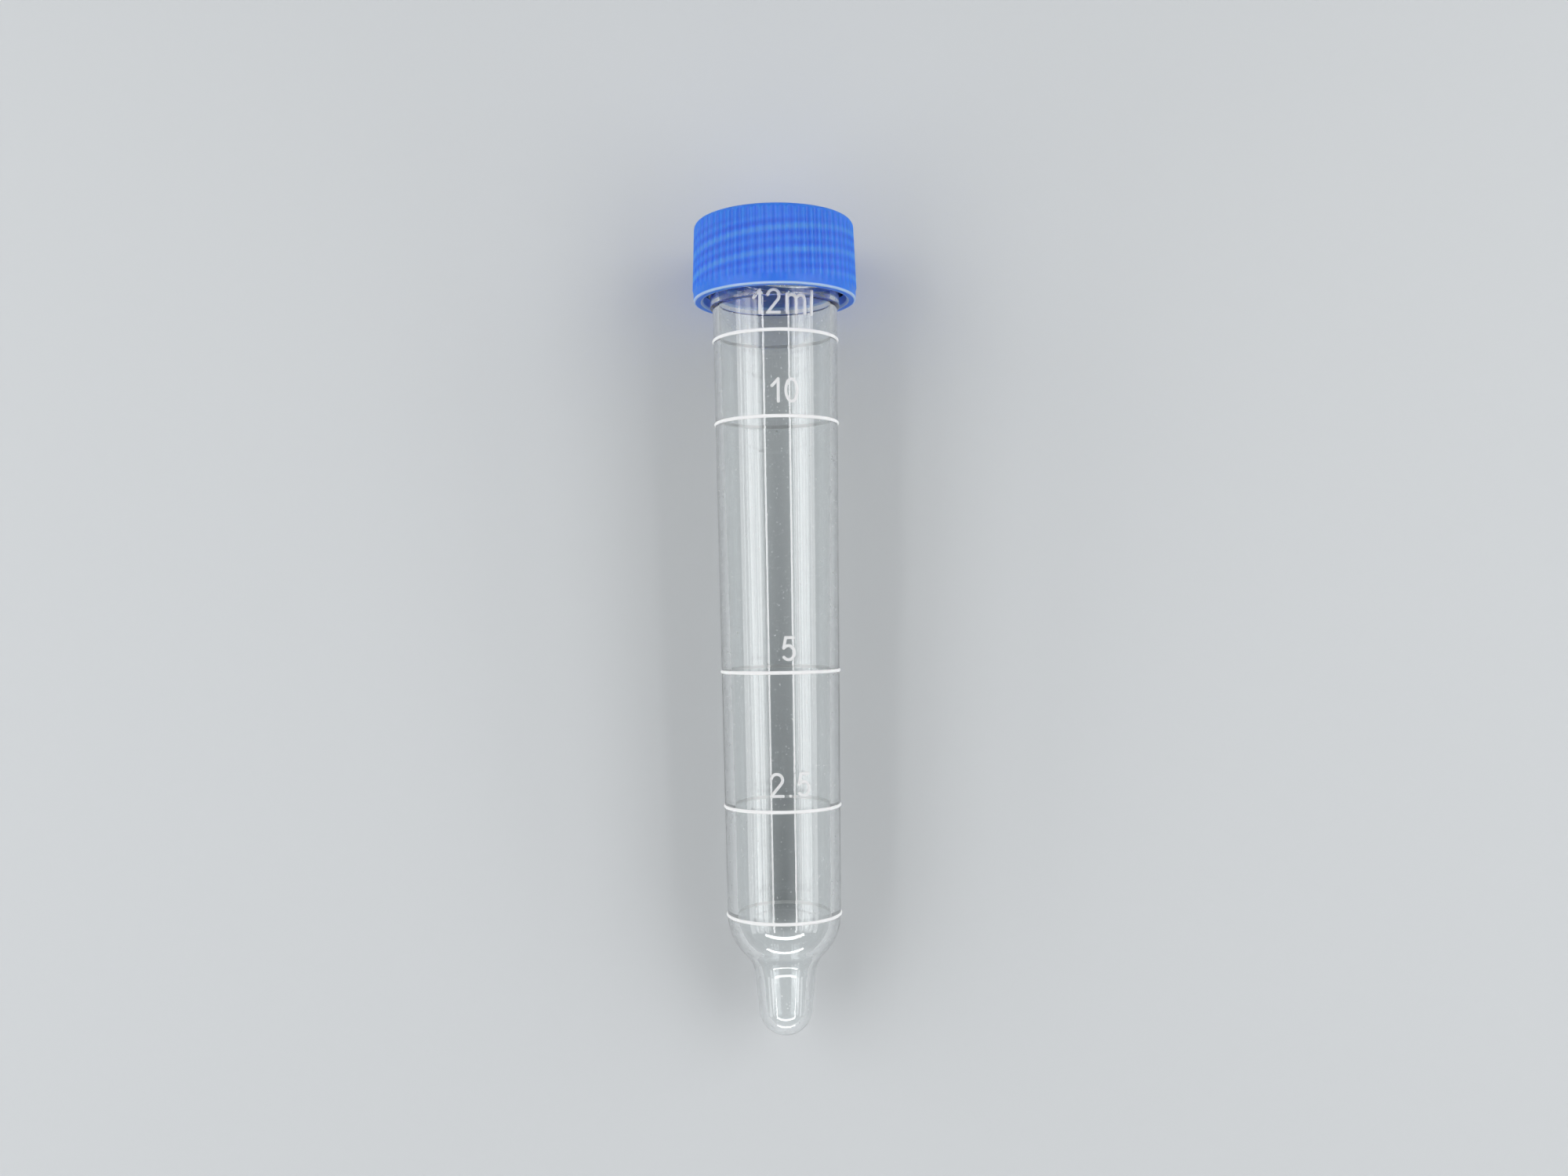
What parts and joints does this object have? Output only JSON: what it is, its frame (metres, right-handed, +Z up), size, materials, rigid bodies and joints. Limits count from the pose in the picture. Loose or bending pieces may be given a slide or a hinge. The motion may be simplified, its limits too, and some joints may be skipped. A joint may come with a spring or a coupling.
{
  "type": "15 ml conical tube",
  "caption": "Clear screw-cap laboratory tube lying closed: tapered body, round bowl and narrow tip, raised rings with volume figures, and a translucent blue ribbed cap with a sealing plug.",
  "frame": {"origin": "bottom centre of the closed tube's box as it lies on a bench; z = 0 is the bench top", "axes": "+X runs along the tube towards the cap, +Z is up and is the side that the volume figures face, and the tube's own axis rises towards +X by about 2.2 degrees, because the cap is wider than the body"},
  "size_m": [0.1092, 0.022, 0.022],
  "materials": {
    "clear_polystyrene": "injection-moulded, water clear and glossy, frosted on the rings and figures",
    "blue_polyethylene": "injection-moulded, translucent, satin"
  },
  "bodies": {
    "tube": {"tube": "clear_polystyrene"},
    "cap": {"cap": "blue_polyethylene"}
  },
  "joints": [
    {"name": "cap_lift", "type": "slide", "parent": "tube", "child": "cap", "axis": [0.9993, 0, 0.0386], "range_m": [0, 0.015]}
  ]
}
